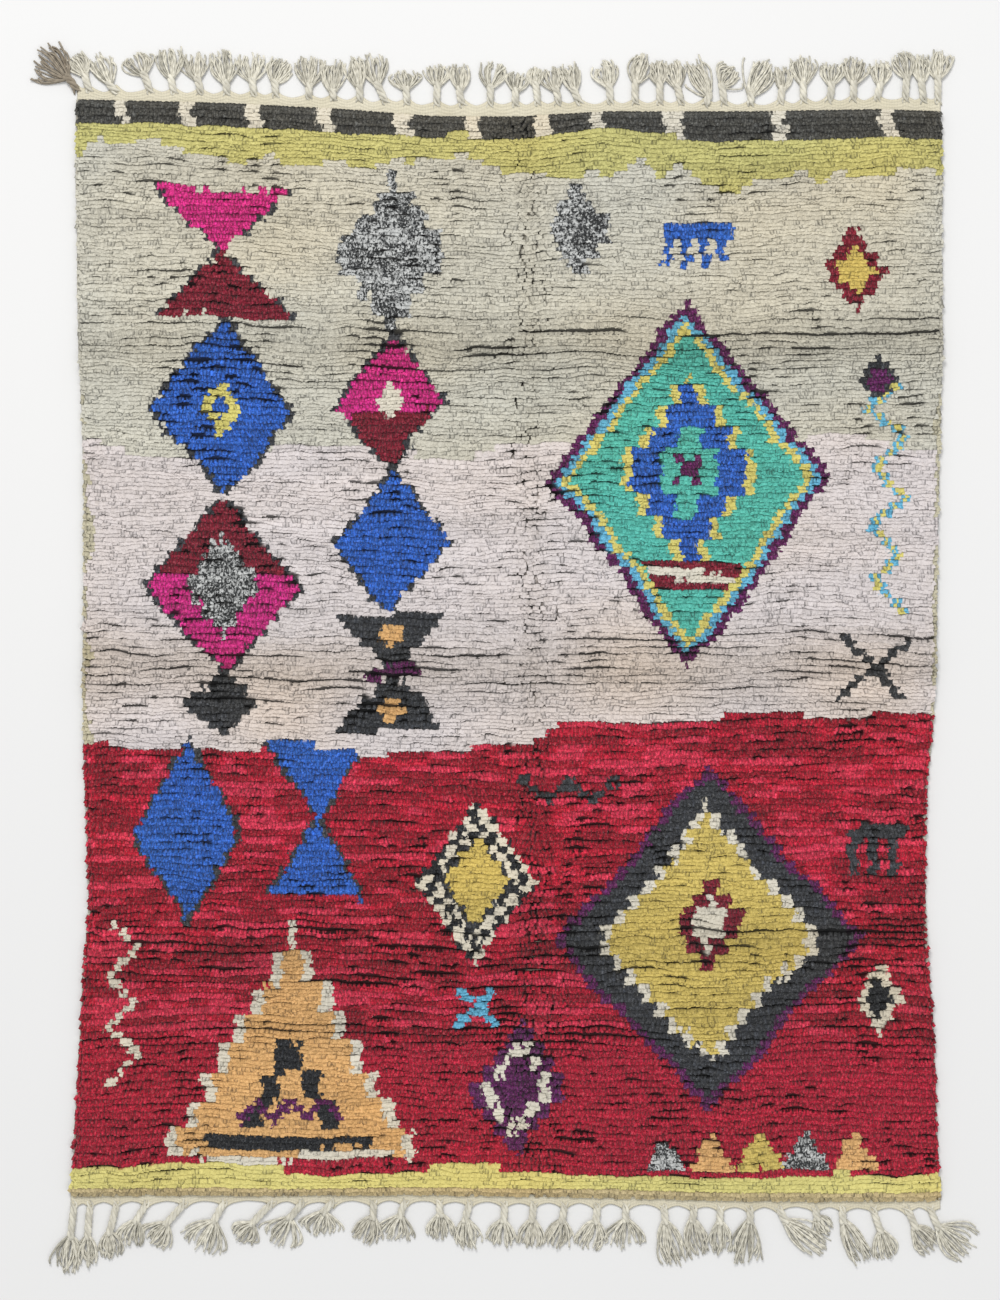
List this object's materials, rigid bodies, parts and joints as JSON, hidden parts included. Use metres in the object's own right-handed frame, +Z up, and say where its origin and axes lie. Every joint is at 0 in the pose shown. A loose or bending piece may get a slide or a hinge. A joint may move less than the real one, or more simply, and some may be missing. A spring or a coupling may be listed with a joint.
{
  "type": "hand knotted wool rug",
  "caption": "Rectangular wool pile rug lying flat, with ribbed rows of knots, soft folds, flatwoven ends and tied fringes.",
  "frame": {"origin": "middle of the rug's plan box, on the floor plane under it", "axes": "+X across the rug, +Y along it towards the end with the dark dashed band, +Z up from the floor"},
  "size_m": [1.7608, 2.2806, 0.0216],
  "materials": {
    "wool_pile": "matt wool pile",
    "warp_yarn": "matt flatwoven wool and twisted yarn"
  },
  "bodies": {
    "root": {"pile_body": "wool_pile", "fringe_top": "warp_yarn", "fringe_bottom": "warp_yarn"}
  },
  "joints": []
}
